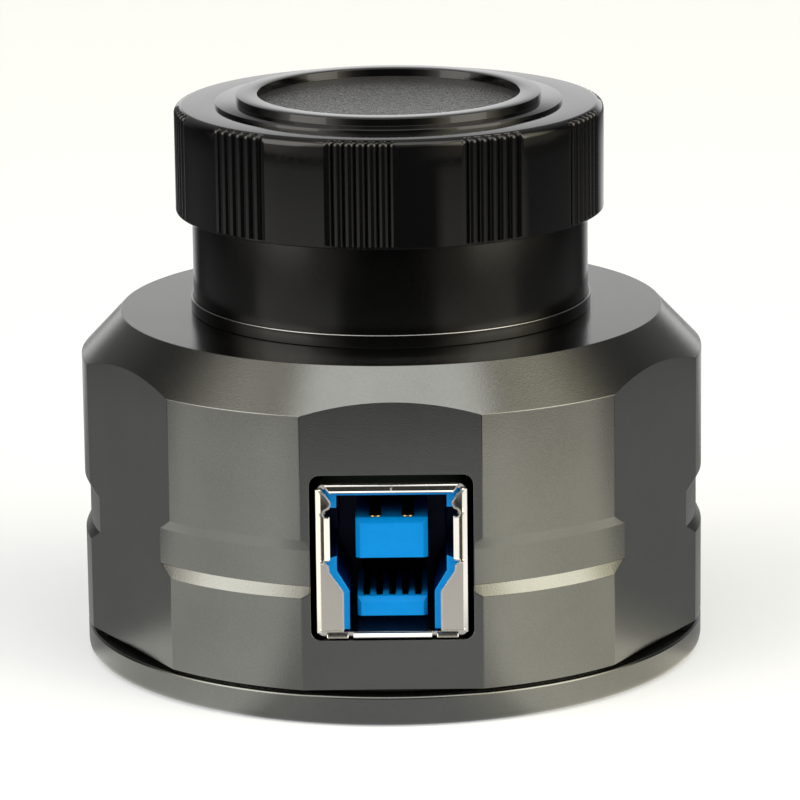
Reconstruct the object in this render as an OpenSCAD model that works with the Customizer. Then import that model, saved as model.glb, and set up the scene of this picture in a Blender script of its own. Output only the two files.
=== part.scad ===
// Compact astronomy camera: round six-flat housing, 1.25-inch nosepiece with
// dust cap, USB 3.0 type-B socket. Millimetres. The optical axis is +Z, the
// underside of the back cover is z = 0 and the USB socket faces -Y.

/* [Housing] */
// Diameter of the housing and of the back cover
body_d = 50; // [49.6:0.1:50.4]
// Distance across two opposite flats
across_flats = 48.02; // [47.8:0.02:48.3]
// Height of the shadow gap's upper edge, where the housing starts
housing_z = 2.74; // [2.7:0.01:2.8]
// Height at which the straight side turns into the conical shoulder
shoulder_z = 24.5; // [24:0.1:24.8]
// Height of the flat front face
face_z = 27.87; // [27.8:0.01:28]
// Diameter of the flat front face
face_d = 43.56; // [43:0.02:44]
// Lower edge of the grip groove
groove_low_z = 10.1; // [9.8:0.1:10.4]
// Upper edge of the grip groove
groove_high_z = 14.75; // [14.5:0.05:15]
// Depth of the grip groove
groove_depth = 0.42; // [0.3:0.02:0.5]
// Height of each sloped side of the groove
groove_bevel = 0.9; // [0.7:0.1:1.1]
// Diameter of the electronics cavity
cavity_d = 44.4; // [44:0.1:44.6]
// Edge break of the turned edges
edge_break = 0.15; // [0.1:0.01:0.2]

/* [Back cover] */
// Height of the cover's visible rim
cover_h = 2.43; // [2.4:0.01:2.5]
// Diameter of the land that meets the housing inside the shadow gap
land_d = 46.8; // [46.4:0.1:47]
// Height that the cover's spigot reaches to
spigot_top_z = 5; // [4.8:0.1:5.1]
// Chamfer of the cover's lower edge
cover_foot_chamfer = 0.7; // [0.5:0.1:0.8]
// Number of cover screws
cover_screw_count = 4; // [3, 4]
// Radius of the circle of cover screws
cover_screw_pcr = 19.2; // [19:0.1:19.4]

/* [Nosepiece] */
// Outer diameter of the barrel, the 1.25-inch standard
barrel_d = 31.75; // [31.7:0.01:31.75]
// Height of the barrel's front rim
barrel_top_z = 43; // [42.8:0.1:43]
// Diameter of the flange
flange_d = 32.16; // [32:0.02:32.4]
// Thickness of the flange
flange_h = 1.07; // [1:0.01:1.2]
// Diameter of the filter thread in the front end
filter_d = 28.5; // [28.4:0.05:28.5]
// Length of the filter thread
filter_len = 5; // [4:0.5:6]
// Lower edge of the safety undercut round the barrel
undercut_low_z = 36.1; // [36:0.05:36.3]
// Width of the safety undercut
undercut_w = 2; // [1.5:0.1:2.5]
// Depth of the safety undercut
undercut_depth = 0.4; // [0.3:0.05:0.5]
// Diameter of the barrel's inside
barrel_bore_d = 27.4; // [27:0.1:27.6]
// Diameter of the threaded spigot
nose_spigot_d = 28.8; // [28.7:0.05:28.8]
// Radial clearance of parts that turn or slide in each other
running_gap = 0.05; // [0.03:0.01:0.08]

/* [Dust cap] */
// Outer diameter of the cap
cap_d = 34.34; // [34.2:0.02:34.5]
// Height of the cap's open rim
cap_rim_z = 35.92; // [35.8:0.02:36.1]
// Height of the ring-shaped shoulder on top
cap_top_z = 44.41; // [44.3:0.01:44.5]
// Number of rib groups
rib_groups = 10; // [8:1:12]
// Grooves in a group of ribs
grooves_per_group = 6; // [5:1:7]
// Angle that a group of ribs takes
rib_group_angle = 18; // [17:0.5:19]
// Angle of the first rib group, measured from the socket side
rib_start_angle = -7.2; // [-8:0.1:-6]
// Depth of the grooves between the ribs
rib_depth = 0.35; // [0.3:0.01:0.4]

/* [USB socket] */
// Width of the cut-out in the housing
cutout_w = 12.56; // [12.5:0.02:12.7]
// Lower edge of the cut-out
cutout_low_z = 6.7; // [6.6:0.05:6.75]
// Upper edge of the cut-out
cutout_high_z = 19.82; // [19.7:0.02:19.9]
// Corner radius of the cut-out
cutout_r = 0.8; // [0.6:0.1:1]
// Width of the metal shell
shell_w = 11.6; // [11.4:0.1:11.8]
// Lower side of the metal shell
shell_low_z = 6.84; // [6.8:0.01:6.9]
// Thickness of the shell's sheet metal
sheet = 0.35; // [0.3:0.01:0.4]
// Length of the socket from front to back
socket_len = 17; // [16:0.5:17.5]
// Depth of the space that the plug goes into
plug_depth = 9; // [8.5:0.1:9.5]

/* [Boards] */
// Height of the main board's lower side, on which the socket hangs
main_board_z = 19; // [18.95:0.05:19.05]
// Thickness of the main board
main_board_t = 1.2; // [1:0.1:1.2]
// Gap between the boards
board_gap = 1.5; // [1.4:0.05:1.6]
// Thickness of the sensor board
sensor_board_t = 1; // [0.8:0.1:1]
// Diameter of the main board
main_board_d = 43; // [42.6:0.1:43.2]
// Diameter of the sensor board
sensor_board_d = 40; // [39:0.1:40.2]
// Radius of the circle of board screws
board_screw_pcr = 17.2; // [17:0.1:17.4]

/* [Front window] */
// Diameter of the window
window_d = 21.8; // [21.6:0.1:21.8]
// Thickness of the window
window_t = 1; // [0.8:0.1:1]
// Diameter of the light opening behind the window
aperture_d = 18.4; // [18:0.1:18.6]

/* [Hidden] */
$fn = 96;
eps = 0.01;
far = 60;

body_r = body_d / 2;
flat_y = across_flats / 2;
cavity_r = cavity_d / 2;
barrel_r = barrel_d / 2;
cap_r = cap_d / 2;
sensor_board_z = main_board_z + main_board_t + board_gap;
sensor_top_z = sensor_board_z + sensor_board_t;
screw_shank_r = 0.95;
screw_gap = 0.15;
screw_hex_r = 0.75;
screw_hex_depth = 0.8;

// ---- shared shapes -------------------------------------------------------

// A ring or tube between two heights.
module tube(outer_r, inner_r, low_z, high_z) {
    rotate_extrude()
        translate([inner_r, low_z])
            square([outer_r - inner_r, high_z - low_z]);
}

// A disc between two heights.
module disc(r, low_z, high_z) {
    translate([0, 0, low_z])
        cylinder(r = r, h = high_z - low_z);
}

// A block given by its lowest and highest corners.
module block(low, high) {
    translate(low)
        cube(high - low);
}

// A rectangle with rounded corners, centred on x = 0.
module rounded_rect(w, low_y, high_y, r) {
    translate([-w / 2 + r, low_y])
        square([w - 2 * r, high_y - low_y]);
    translate([-w / 2, low_y + r])
        square([w, high_y - low_y - 2 * r]);
    for (x = [-w / 2 + r, w / 2 - r], y = [low_y + r, high_y - r])
        translate([x, y])
            circle(r = r);
}

// Puts its children at an angle from the socket side (-Y), turning towards +X.
module at_angle(angle, radius) {
    rotate([0, 0, angle])
        translate([0, -radius, 0])
            children();
}

// Extrudes an outline drawn in (x, z) from y = front to y = back.
module extrude_y(front, back) {
    translate([0, back, 0])
        rotate([90, 0, 0])
            linear_extrude(height = back - front)
                children();
}

// ---- housing and back cover ---------------------------------------------

cover_screw_angles = [for (i = [0 : cover_screw_count - 1]) 45 + 360 / cover_screw_count * i];
board_screw_angles = [-75, 75, 180];
ceiling_z = 25.2;
upper_cavity_z = 22.9;
upper_cavity_r = 20.4;
lip_low_z = 23.1;
lip_high_z = 23.9;
lip_boss_r = 17;
foot_r = 2.7;
boss_r = 3;
boss_high_z = 10;
tapped_r = 0.95;
nose_thread_r = nose_spigot_d / 2 + running_gap;
seat_r = window_d / 2 + 0.1;

// Half section of the housing's outside, with its groove and shoulder.
module housing_profile() {
    groove_r = body_r - groove_depth;
    polygon([
        [0, housing_z], [body_r - edge_break, housing_z], [body_r, housing_z + edge_break],
        [body_r, groove_low_z], [groove_r, groove_low_z + groove_bevel],
        [groove_r, groove_high_z - groove_bevel], [body_r, groove_high_z],
        [body_r, shoulder_z], [face_d / 2, face_z], [0, face_z]]);
}

module housing_inside() {
    disc(cavity_r, housing_z - eps, upper_cavity_z);
    difference() {
        disc(upper_cavity_r, upper_cavity_z - eps, ceiling_z);
        disc(lip_boss_r, lip_low_z, ceiling_z + eps);
        for (angle = board_screw_angles)
            at_angle(angle, board_screw_pcr)
                disc(foot_r, sensor_top_z, ceiling_z + eps);
    }
    disc(aperture_d / 2, upper_cavity_z - eps, lip_high_z + eps);
    disc(seat_r, lip_high_z, ceiling_z + eps);
    disc(nose_thread_r, ceiling_z, face_z + eps);
    translate([0, 0, face_z - 2 * edge_break])
        cylinder(r1 = nose_thread_r, r2 = nose_thread_r + 2 * edge_break + eps, h = 2 * edge_break + eps);
}

module housing() {
    color("dimgray")
        difference() {
            union() {
                difference() {
                    intersection() {
                        rotate_extrude()
                            housing_profile();
                        cylinder(r = flat_y / cos(30), h = far, $fn = 6);
                    }
                    housing_inside();
                }
                cover_bosses();
                board_feet();
            }
            for (angle = cover_screw_angles)
                at_angle(angle, cover_screw_pcr)
                    disc(tapped_r, housing_z, boss_high_z - 1);
            for (angle = board_screw_angles)
                at_angle(angle, board_screw_pcr)
                    disc(tapped_r, housing_z, ceiling_z + 0.6);
            extrude_y(-far / 2, -flat_y + 5)
                rounded_rect(cutout_w, cutout_low_z, cutout_high_z, cutout_r);
        }
}

// Pillars on the wall that the cover screws go into.
module cover_bosses() {
    low_z = spigot_top_z + 0.1;
    for (angle = cover_screw_angles)
        at_angle(angle, cover_screw_pcr) {
            disc(boss_r, low_z, boss_high_z);
            block([-boss_r, -(cavity_r + 1 - cover_screw_pcr), low_z], [boss_r, 0, boss_high_z]);
        }
}

// Feet under the front wall that the boards are screwed to.
module board_feet() {
    for (angle = board_screw_angles)
        at_angle(angle, board_screw_pcr)
            disc(foot_r, sensor_top_z, ceiling_z + eps);
}

seal_groove_depth = 0.8;
seal_groove_low_z = 3.3;
seal_groove_high_z = 4.3;
cover_floor_z = 2.2;
cover_screw_head_r = 1.9;
cover_screw_head_h = 1.15;
cover_screw_sunk = 0.15;
label_recess_r = 14.6;
label_recess_depth = 0.2;
cover_pad_r = 2.1;

module back_cover() {
    color("dimgray")
        difference() {
            union() {
                rotate_extrude()
                    back_cover_profile();
                for (angle = cover_screw_angles)
                    at_angle(angle, cover_screw_pcr)
                        disc(cover_pad_r, cover_floor_z - eps, spigot_top_z - 0.4);
            }
            disc(label_recess_r, -eps, label_recess_depth);
            for (angle = cover_screw_angles)
                at_angle(angle, cover_screw_pcr)
                    screw_clearance(cover_screw_sunk);
            for (x = heat_screw_xs)
                translate([x, heat_screw_y, 0])
                    screw_clearance(cover_screw_sunk + label_recess_depth);
        }
}

// Half section of the back cover: foot, rim, land, spigot with its seal groove, floor.
module back_cover_profile() {
    spigot_r = cavity_r - running_gap;
    spigot_inner_r = spigot_r - 1.6;
    groove_r = spigot_r - seal_groove_depth;
    polygon([
        [0, 0], [body_r - cover_foot_chamfer, 0], [body_r, cover_foot_chamfer],
        [body_r, cover_h - edge_break], [body_r - edge_break, cover_h],
        [land_d / 2, cover_h], [land_d / 2, housing_z], [spigot_r, housing_z],
        [spigot_r, seal_groove_low_z], [groove_r, seal_groove_low_z],
        [groove_r, seal_groove_high_z], [spigot_r, seal_groove_high_z],
        [spigot_r, spigot_top_z], [spigot_inner_r, spigot_top_z],
        [spigot_inner_r, cover_floor_z], [0, cover_floor_z]]);
}

// Countersunk clearance hole for a screw whose head's face is at face_z.
module screw_clearance(face_z) {
    disc(screw_shank_r + screw_gap, -eps, far);
    screw_head_cone(0.05, face_z);
    disc(cover_screw_head_r + 0.05, -eps, face_z);
}

// Countersunk head, widest at low_z and grown by a gap.
module screw_head_cone(gap, low_z) {
    translate([0, 0, low_z])
        cylinder(r1 = cover_screw_head_r + gap, r2 = screw_shank_r + gap, h = cover_screw_head_h);
}

// The hexagon socket in a screw's head, whose face is at face_z.
module screw_hex(face_z) {
    translate([0, 0, face_z - eps])
        cylinder(r = screw_hex_r, h = screw_hex_depth, $fn = 6);
}

// A countersunk screw with a hexagon socket, its head's face at face_low_z.
module countersunk_screw(face_low_z, tip_z) {
    difference() {
        union() {
            screw_head_cone(0, face_low_z);
            disc(screw_shank_r, face_low_z + cover_screw_head_h - eps, tip_z);
        }
        screw_hex(face_low_z);
    }
}

module cover_screws() {
    color("silver")
        for (angle = cover_screw_angles)
            at_angle(angle, cover_screw_pcr)
                countersunk_screw(cover_screw_sunk, boss_high_z - 1.5);
}

module cover_seal() {
    color("black")
        tube(cavity_r, cavity_r - running_gap - seal_groove_depth, seal_groove_low_z, seal_groove_high_z);
}

// ---- nosepiece, window and cap ------------------------------------------

gasket_inner_r = nose_spigot_d / 2 + 0.2;
gasket_outer_r = 15.5;
gasket_t = 0.3;
retainer_t = 0.5;
retainer_inner_r = 9.9;
spanner_slot_x = 12.6;
spanner_slot_len = 1.8;
spanner_slot_w = 1.2;
seal_t = 0.3;
nose_spigot_low_z = ceiling_z + retainer_t + 0.05;
rim_chamfer = 0.3;

module nosepiece() {
    flange_top = face_z + flange_h;
    flange_r = flange_d / 2;
    spigot_r = nose_spigot_d / 2;
    color("black")
        rotate_extrude()
            polygon([
                [barrel_bore_d / 2, nose_spigot_low_z], [spigot_r - rim_chamfer, nose_spigot_low_z],
                [spigot_r, nose_spigot_low_z + rim_chamfer], [spigot_r, face_z + gasket_t],
                [gasket_outer_r, face_z + gasket_t], [gasket_outer_r, face_z],
                [flange_r, face_z], [flange_r, flange_top - edge_break],
                [flange_r - edge_break, flange_top], [barrel_r, flange_top],
                [barrel_r, undercut_low_z], [barrel_r - undercut_depth, undercut_low_z],
                [barrel_r - undercut_depth, undercut_low_z + undercut_w - undercut_depth],
                [barrel_r, undercut_low_z + undercut_w],
                [barrel_r, barrel_top_z - rim_chamfer], [barrel_r - rim_chamfer, barrel_top_z],
                [filter_d / 2, barrel_top_z], [filter_d / 2, barrel_top_z - filter_len],
                [barrel_bore_d / 2, barrel_top_z - filter_len]]);
}

module nosepiece_gasket() {
    color("black")
        tube(gasket_outer_r - running_gap, gasket_inner_r, face_z, face_z + gasket_t);
}

module window_seal() {
    color("black")
        tube(window_d / 2, aperture_d / 2 + 0.4, lip_high_z, lip_high_z + seal_t);
}

module window_glass() {
    color("lightblue", 0.4)
        disc(window_d / 2, lip_high_z + seal_t, lip_high_z + seal_t + window_t);
}

module window_retainer() {
    color("black")
        difference() {
            tube(nose_thread_r, retainer_inner_r, ceiling_z, ceiling_z + retainer_t);
            for (x = [-spanner_slot_x, spanner_slot_x])
                block([x - spanner_slot_len / 2, -spanner_slot_w / 2, ceiling_z - eps],
                    [x + spanner_slot_len / 2, spanner_slot_w / 2, ceiling_z + 1]);
        }
}

cap_inner_r = barrel_r + running_gap;
cap_corner = 0.45;
cap_step_r = 13.9;
cap_step_h = 0.24;
cap_ring_r = 12.2;
cap_ring_h = 0.82;
cap_recess_r = 10.5;
cap_recess_z = cap_top_z + 0.17;
cap_relief_r = 14.9;
cap_relief_h = 0.4;
rib_top_gap = 0.55;
rib_groove_w = 0.45;

module dust_cap() {
    rib_pitch = rib_group_angle / grooves_per_group;
    first_groove = rib_start_angle - (rib_group_angle - rib_pitch) / 2;
    color([0.05, 0.05, 0.05])
        difference() {
            rotate_extrude()
                polygon([
                    [0, barrel_top_z + cap_relief_h], [cap_relief_r, barrel_top_z + cap_relief_h],
                    [cap_relief_r, barrel_top_z], [cap_inner_r, barrel_top_z],
                    [cap_inner_r, cap_rim_z + rim_chamfer],
                    [cap_inner_r + rim_chamfer, cap_rim_z], [cap_r, cap_rim_z],
                    [cap_r, cap_top_z - cap_corner], [cap_r - cap_corner, cap_top_z],
                    [cap_step_r, cap_top_z], [cap_step_r, cap_top_z + cap_step_h],
                    [cap_ring_r, cap_top_z + cap_step_h], [cap_ring_r, cap_top_z + cap_ring_h],
                    [cap_recess_r, cap_top_z + cap_ring_h], [cap_recess_r, cap_recess_z],
                    [0, cap_recess_z]]);
            for (g = [0 : rib_groups - 1], i = [0 : grooves_per_group - 1])
                rotate([0, 0, first_groove + 360 / rib_groups * g + rib_pitch * i])
                    block([-rib_groove_w / 2, -cap_r - 1, cap_rim_z - 1],
                        [rib_groove_w / 2, -cap_r + rib_depth, cap_top_z - rib_top_gap]);
        }
}

// ---- sensor and boards ---------------------------------------------------

package_w = 11.4;
package_h = 10.2;
package_t = 0.8;
package_floor_t = 0.3;
package_wall = 1;
die_w = 8.2;
die_h = 6.8;
die_t = 0.25;
cover_glass_inset = 0.4;
cover_glass_t = 0.4;
spacer_r = 2.1;
spacer_gap = 0.1;
board_head_r = 1.9;
board_head_h = 1.3;
board_screw_tip_z = ceiling_z + 0.2;

module sensor_package() {
    color("darkslategray")
        difference() {
            block([-package_w / 2, -package_h / 2, sensor_top_z],
                [package_w / 2, package_h / 2, sensor_top_z + package_t]);
            block([-package_w / 2 + package_wall, -package_h / 2 + package_wall,
                    sensor_top_z + package_floor_t],
                [package_w / 2 - package_wall, package_h / 2 - package_wall, far]);
        }
}

module sensor_die() {
    low_z = sensor_top_z + package_floor_t;
    color("mediumpurple")
        block([-die_w / 2, -die_h / 2, low_z], [die_w / 2, die_h / 2, low_z + die_t]);
}

module sensor_cover_glass() {
    low_z = sensor_top_z + package_t;
    half_x = package_w / 2 - cover_glass_inset;
    half_y = package_h / 2 - cover_glass_inset;
    color("lightblue", 0.4)
        block([-half_x, -half_y, low_z], [half_x, half_y, low_z + cover_glass_t]);
}

module sensor_board() {
    color("darkgreen")
        difference() {
            disc(sensor_board_d / 2, sensor_board_z, sensor_top_z);
            board_screw_holes();
        }
}

module board_screw_holes() {
    for (angle = board_screw_angles)
        at_angle(angle, board_screw_pcr)
            disc(screw_shank_r + screw_gap, main_board_z - 1, sensor_top_z + 1);
}

// The connector between the boards: the plug under the sensor board fills the socket's slot.
link_y = 11;
link_w = 13;
link_d = 4.4;

link_base_t = 0.3;
link_tongue_w = 11.8;
link_tongue_d = 2.4;
link_tongue_h = 0.6;
link_gap = 0.05;

module board_plug() {
    base_z = sensor_board_z - link_base_t;
    color("ivory")
        union() {
            block([-link_tongue_w / 2, link_y - link_tongue_d / 2, base_z - link_tongue_h],
                [link_tongue_w / 2, link_y + link_tongue_d / 2, base_z]);
            block([-link_w / 2, link_y - link_d / 2, base_z],
                [link_w / 2, link_y + link_d / 2, sensor_board_z]);
        }
}

module board_socket() {
    low_z = main_board_z + main_board_t;
    high_z = sensor_board_z - link_base_t - link_gap;
    color("ivory")
        difference() {
            block([-link_w / 2, link_y - link_d / 2, low_z], [link_w / 2, link_y + link_d / 2, high_z]);
            block([-link_tongue_w / 2 - link_gap, link_y - link_tongue_d / 2 - link_gap,
                    high_z - link_tongue_h],
                [link_tongue_w / 2 + link_gap, link_y + link_tongue_d / 2 + link_gap, far]);
        }
}

module board_spacers() {
    color("silver")
        for (angle = board_screw_angles)
            at_angle(angle, board_screw_pcr)
                tube(spacer_r, screw_shank_r + spacer_gap, main_board_z + main_board_t, sensor_board_z);
}

module board_screws() {
    color("silver")
        for (angle = board_screw_angles)
            at_angle(angle, board_screw_pcr)
                difference() {
                    union() {
                        disc(board_head_r, main_board_z - board_head_h, main_board_z);
                        disc(screw_shank_r, main_board_z - eps, board_screw_tip_z);
                    }
                    screw_hex(main_board_z - board_head_h);
                }
}

module main_board() {
    color("darkgreen")
        difference() {
            disc(main_board_d / 2, main_board_z, main_board_z + main_board_t);
            board_screw_holes();
            for (x = [-shell_leg_x, shell_leg_x], y = shell_leg_ys)
                block([x - leg_hole_w / 2, y - leg_hole_len / 2, main_board_z - 1],
                    [x + leg_hole_w / 2, y + leg_hole_len / 2, far]);
            contact_tail_holes();
        }
}

// Components under the main board: size, and the (x, y) of the middle.
chip_y = 8;
controller_size = [10, 10, 1.1];
memory_size = [6, 8, 1];
memory_at = [11, 9];
regulator_size = [3, 3, 0.9];
regulator_at = [-10.5, 11.5];
inductor_size = [4, 4, 1.8];
inductor_at = [-11, 6.5];
inductor_dimple_r = 1.3;
inductor_dimple_depth = 0.3;
crystal_size = [3.2, 2.5, 0.8];
crystal_at = [10.1, 0.75];
capacitor_size = [1, 1.6, 0.7];
capacitor_at = [-10.1, -2.7];
capacitor_pitch = [1.7, 2.2];

// A component soldered under the main board, with its middle at (x, y).
module under_board(at, size) {
    block([at[0] - size[0] / 2, at[1] - size[1] / 2, main_board_z - size[2]],
        [at[0] + size[0] / 2, at[1] + size[1] / 2, main_board_z]);
}

module usb_controller() {
    color([0.1, 0.1, 0.1])
        under_board([0, chip_y], controller_size);
}

module memory_chip() {
    color([0.1, 0.1, 0.1])
        under_board(memory_at, memory_size);
}

module voltage_regulator() {
    color([0.1, 0.1, 0.1])
        under_board(regulator_at, regulator_size);
}

module power_inductor() {
    color("gray")
        difference() {
            under_board(inductor_at, inductor_size);
            translate([inductor_at[0], inductor_at[1], main_board_z - inductor_size[2] - eps])
                cylinder(r = inductor_dimple_r, h = inductor_dimple_depth);
        }
}

module crystal() {
    color("silver")
        under_board(crystal_at, crystal_size);
}

module capacitors() {
    color("tan")
        for (column = [0, 1], row = [0 : 2])
            under_board([capacitor_at[0] + capacitor_pitch[0] * column,
                    capacitor_at[1] + capacitor_pitch[1] * row],
                capacitor_size);
}

// ---- passive cooling path -----------------------------------------------

heat_block_w = 12;
heat_block_len = 14;
heat_screw_xs = [-4, 4];
heat_screw_y = chip_y + 2.5;
heat_tap_top_z = 8;
heat_screw_tip_z = 7;
pad_w = 11;
pad_t = 1;

module thermal_pad() {
    top_z = main_board_z - controller_size[2];
    color("lightpink")
        block([-pad_w / 2, chip_y - pad_w / 2, top_z - pad_t], [pad_w / 2, chip_y + pad_w / 2, top_z]);
}

module heat_block() {
    top_z = main_board_z - controller_size[2] - pad_t;
    color("silver")
        difference() {
            block([-heat_block_w / 2, chip_y - heat_block_len / 2, cover_floor_z],
                [heat_block_w / 2, chip_y + heat_block_len / 2, top_z]);
            for (x = heat_screw_xs)
                translate([x, heat_screw_y, 0])
                    disc(tapped_r, cover_floor_z - eps, heat_tap_top_z);
        }
}

module heat_block_screws() {
    color("silver")
        for (x = heat_screw_xs)
            translate([x, heat_screw_y, 0])
                countersunk_screw(cover_screw_sunk + label_recess_depth, heat_screw_tip_z);
}

// ---- USB 3.0 type-B socket, wide half upwards ----------------------------

socket_front_y = -flat_y + 0.25;
socket_back_y = socket_front_y + socket_len;
half_w = shell_w / 2;
shell_leg_x = half_w - sheet / 2;
shell_leg_w = 1.6;
shell_leg_len = 1.9;
leg_hole_w = 0.8;
leg_hole_len = 1.8;
shell_leg_ys = [socket_front_y + 5, socket_back_y - 3];
liner_front_y = socket_front_y + 0.7;
plug_back_y = socket_front_y + plug_depth;
tongue_front_y = socket_front_y + 1.1;
tail_slot_w = 6;
tail_slot_len = 5;

// Space for the plug: narrow below, sloped shoulders, wide above.
plug_low_z = 7.4;
plug_shoulder_low_z = 10.4;
plug_shoulder_high_z = 12.1;
plug_high_z = 18.05;
plug_narrow = 3.2;
plug_wide = 4.25;

// Face plates of the shell: two narrow webs with a round notch at each end.
plate_narrow = 3.7;
plate_wide = 4.7;
plate_low_z = 7.3;
plate_high_z = 18.6;
plate_set_back = 0.15;
notch_low = [5.15, 12.85];
notch_low_r = 0.22;
notch_high = [5.1, 17.0];
notch_high_r = 0.25;
top_strip_half_w = 4.9;
top_strip_low_z = 18.33;

module plug_outline() {
    polygon([
        [-plug_narrow, plug_low_z], [plug_narrow, plug_low_z], [plug_narrow, plug_shoulder_low_z],
        [plug_wide, plug_shoulder_high_z], [plug_wide, plug_high_z], [-plug_wide, plug_high_z],
        [-plug_wide, plug_shoulder_high_z], [-plug_narrow, plug_shoulder_low_z]]);
}

// Edge of the shell's right face plate, from bottom to top.
module face_plate_outline() {
    difference() {
        polygon([
            [half_w - sheet, plate_low_z], [plate_narrow, plate_low_z], [plate_narrow, 10.45],
            [plate_wide + 0.1, 12.25], [plate_wide + 0.1, 12.6], [plate_wide + 0.5, 12.85],
            [plate_wide, 13.15], [plate_wide, 16.75], [plate_wide + 0.6, 17.05],
            [plate_wide + 0.05, 17.35], [plate_wide, 17.8], [plate_wide + 0.4, 18.3],
            [half_w - sheet, plate_high_z]]);
        translate(notch_low)
            circle(r = notch_low_r, $fn = 32);
        translate(notch_high)
            circle(r = notch_high_r, $fn = 32);
    }
}

module usb_shell() {
    color("silver")
        union() {
            difference() {
                block([-half_w, socket_front_y, shell_low_z], [half_w, socket_back_y, main_board_z]);
                block([-half_w + sheet, socket_front_y - 1, shell_low_z + sheet],
                    [half_w - sheet, far, main_board_z - sheet]);
                block([-tail_slot_w / 2, socket_back_y - tail_slot_len, main_board_z - 1],
                    [tail_slot_w / 2, socket_back_y - sheet, far]);
            }
            for (side = [0, 1])
                mirror([side, 0, 0])
                    extrude_y(socket_front_y + plate_set_back, socket_front_y + plate_set_back + sheet)
                        face_plate_outline();
            block([-top_strip_half_w, socket_front_y, top_strip_low_z],
                [top_strip_half_w, socket_front_y + sheet, main_board_z - sheet / 2]);
            for (x = [-shell_leg_x, shell_leg_x], y = shell_leg_ys)
                block([x - sheet / 2, y - shell_leg_w / 2, main_board_z - eps],
                    [x + sheet / 2, y + shell_leg_w / 2, main_board_z + shell_leg_len]);
        }
}

module usb_rear_cover() {
    color("silver")
        block([-half_w, socket_back_y, shell_low_z], [half_w, socket_back_y + sheet, main_board_z]);
}

contact_w = 0.9;
contact_t = 0.25;
tail_w = 0.4;
tail_len = 1.8;
tail_gap = 0.15;
tail_hole_margin = 0.2;
usb2_tail_ys = [socket_back_y - 4.4, socket_back_y - 2.4];
superspeed_tail_y = socket_back_y - 0.9;
usb2_xs = [-1.25, 1.25];
superspeed_xs = [for (i = [-2 : 2]) i];
usb2_tongue = [2.78, 12.87, 16.05];
superspeed_tongue = [2.7, 8.24, 9.77];

// A tongue given as [half width, lower side, upper side].
module tongue(size) {
    block([-size[0], tongue_front_y, size[1]], [size[0], plug_back_y + eps, size[2]]);
}

module usb_insulator() {
    inner_w = half_w - sheet;
    color("dodgerblue")
        difference() {
            union() {
                difference() {
                    block([-inner_w, liner_front_y, shell_low_z + sheet],
                        [inner_w, socket_back_y, main_board_z - sheet]);
                    extrude_y(liner_front_y - 1, plug_back_y)
                        plug_outline();
                }
                tongue(usb2_tongue);
                tongue(superspeed_tongue);
            }
            usb2_contact_shapes();
            superspeed_contact_shapes();
        }
}

// Four flat contacts, two on each side of the wide tongue, with tails up through the board.
module usb2_contact_shapes() {
    for (x = usb2_xs) {
        contact(x, contact_w, usb2_tongue[2] - contact_t, usb2_tail_ys[0]);
        contact(x, contact_w, usb2_tongue[1], usb2_tail_ys[1]);
    }
}

// Five narrow contacts on the upper side of the lower tongue.
module superspeed_contact_shapes() {
    for (x = superspeed_xs)
        contact(x, contact_w / 2, superspeed_tongue[2] - contact_t, superspeed_tail_y);
}

// A contact strip whose lower side is at low_z, bent up into a tail at tail_y.
module contact(x, w, low_z, tail_y) {
    block([x - w / 2, tongue_front_y + 1, low_z], [x + w / 2, tail_y + contact_t, low_z + contact_t]);
    block([x - tail_w / 2, tail_y, low_z], [x + tail_w / 2, tail_y + contact_t, main_board_z + tail_len]);
}

module contact_tail_holes() {
    for (x = usb2_xs, y = usb2_tail_ys)
        tail_hole(x, y);
    for (x = superspeed_xs)
        tail_hole(x, superspeed_tail_y);
}

module tail_hole(x, y) {
    half = tail_w / 2 + tail_gap;
    block([x - half, y - tail_hole_margin, main_board_z - 1],
        [x + half, y + contact_t + tail_hole_margin, far]);
}

module usb2_contacts() {
    color("gold")
        usb2_contact_shapes();
}

module superspeed_contacts() {
    color("gold")
        superspeed_contact_shapes();
}

housing();
back_cover();
cover_seal();
cover_screws();
nosepiece();
nosepiece_gasket();
dust_cap();
window_glass();
window_seal();
window_retainer();
sensor_package();
sensor_die();
sensor_cover_glass();
sensor_board();
board_plug();
board_socket();
board_spacers();
board_screws();
main_board();
usb_controller();
memory_chip();
voltage_regulator();
power_inductor();
crystal();
capacitors();
thermal_pad();
heat_block();
heat_block_screws();
usb_shell();
usb_insulator();
usb2_contacts();
superspeed_contacts();
usb_rear_cover();
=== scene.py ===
"""Looks of a compact astronomy camera: grey anodised housing with six flats, black 1.25-inch
nosepiece under a ribbed dust cap, and a blue USB 3.0 type-B socket on its side."""

import math
from math import cos, pi, radians, sin, sqrt, tan

import bmesh
import bpy
from mathutils import Matrix, Vector


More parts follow.
